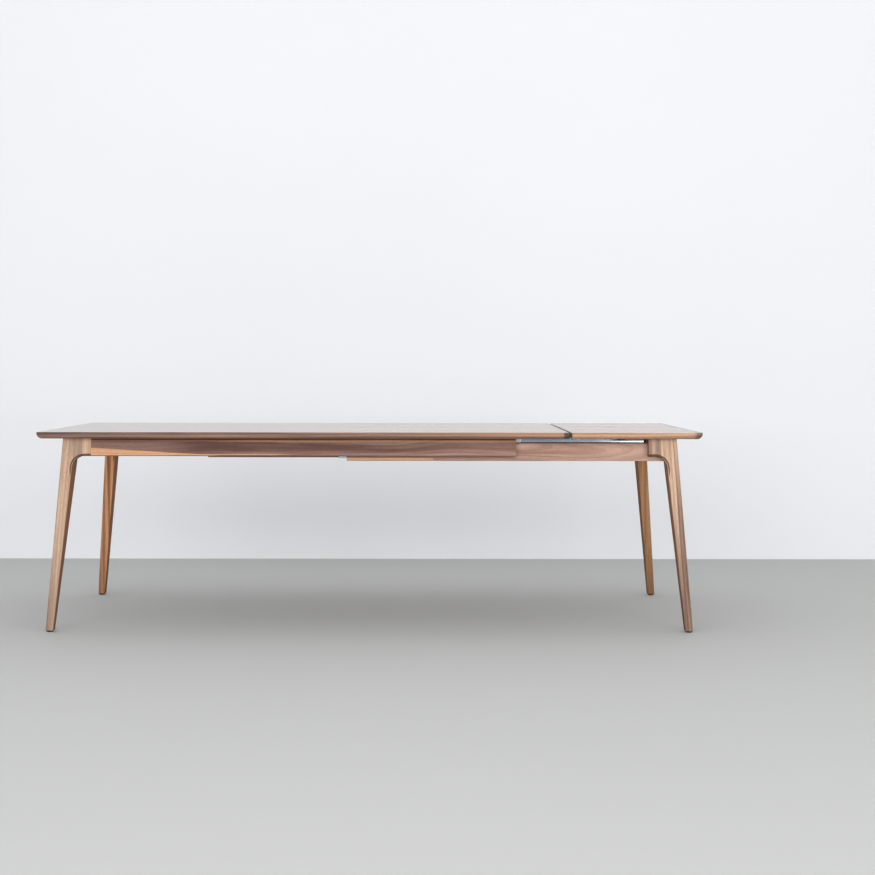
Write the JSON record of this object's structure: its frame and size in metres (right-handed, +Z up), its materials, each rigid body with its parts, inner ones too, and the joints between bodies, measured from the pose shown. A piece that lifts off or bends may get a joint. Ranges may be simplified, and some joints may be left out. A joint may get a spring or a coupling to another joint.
{
  "type": "extendable dining table",
  "caption": "Long wooden dining table on splayed tapered legs; one end pulls out on slide rails and carries a loose end leaf.",
  "frame": {"origin": "on the floor, under the middle of the table as it stands pulled out with the leaf in place", "axes": "+X along the table towards the pull-out end and the leaf, +Y across the table from front to back, +Z up"},
  "size_m": [2.5, 0.9, 0.75],
  "materials": {
    "walnut": "oiled, satin",
    "walnut_frame": "oiled, satin",
    "beech": "planed, unfinished",
    "aluminium": "clear anodised extrusion",
    "zinc_steel": "zinc plated",
    "black_steel": "black powder coat",
    "brass": "turned",
    "white_nylon": "moulded nylon",
    "black_nylon": "moulded nylon",
    "rubber": "moulded, matt",
    "felt": "pressed wool felt"
  },
  "bodies": {
    "fixed_frame": {"main_top": "walnut", "leg_front_left": "walnut_frame", "leg_back_left": "walnut_frame", "apron_front": "walnut_frame", "apron_back": "walnut_frame", "end_rail_left": "walnut_frame", "guide_runner_front": "walnut_frame", "guide_runner_back": "walnut_frame", "corner_blocks_left": "beech", "frame_dowels_left": "beech", "guide_channel_front": "aluminium", "guide_channel_back": "aluminium", "leg_bolts_left": "zinc_steel", "top_brackets": "zinc_steel", "bracket_screws": "zinc_steel", "runner_screws": "zinc_steel", "stiffener_screws": "zinc_steel", "top_stiffeners": "black_steel", "dowel_sleeves": "brass", "mouth_shoes": "white_nylon", "guide_caps": "white_nylon", "glide_front_left": "black_nylon", "glide_back_left": "black_nylon", "stop_blocks": "rubber"},
    "pull_out_frame": {"leg_front_right": "walnut_frame", "leg_back_right": "walnut_frame", "glide_front_right": "black_nylon", "glide_back_right": "black_nylon", "corner_blocks_right": "beech", "leg_bolts_right": "zinc_steel", "frame_dowels_right": "beech", "end_rail_right": "walnut_frame", "inner_rail_front": "walnut_frame", "inner_rail_back": "walnut_frame", "slide_bar_front": "aluminium", "slide_bar_back": "aluminium", "bar_end_caps": "black_nylon", "tail_shoes": "white_nylon", "slide_bar_screws": "zinc_steel", "rail_screws": "zinc_steel", "rear_brace": "beech", "brace_screws": "zinc_steel", "support_pads": "felt"},
    "leaf": {"extension_leaf": "walnut", "leaf_dowels": "beech", "leaf_stiffener": "black_steel", "leaf_stiffener_screws": "zinc_steel"}
  },
  "joints": [
    {"name": "frame_slide", "type": "slide", "parent": "fixed_frame", "child": "pull_out_frame", "axis": [1, 0, 0], "range_m": [-0.5, 0]},
    {"name": "leaf_slide", "type": "slide", "parent": "fixed_frame", "child": "leaf", "axis": [1, 0, 0], "range_m": [-0.0097, 0.49]}
  ]
}
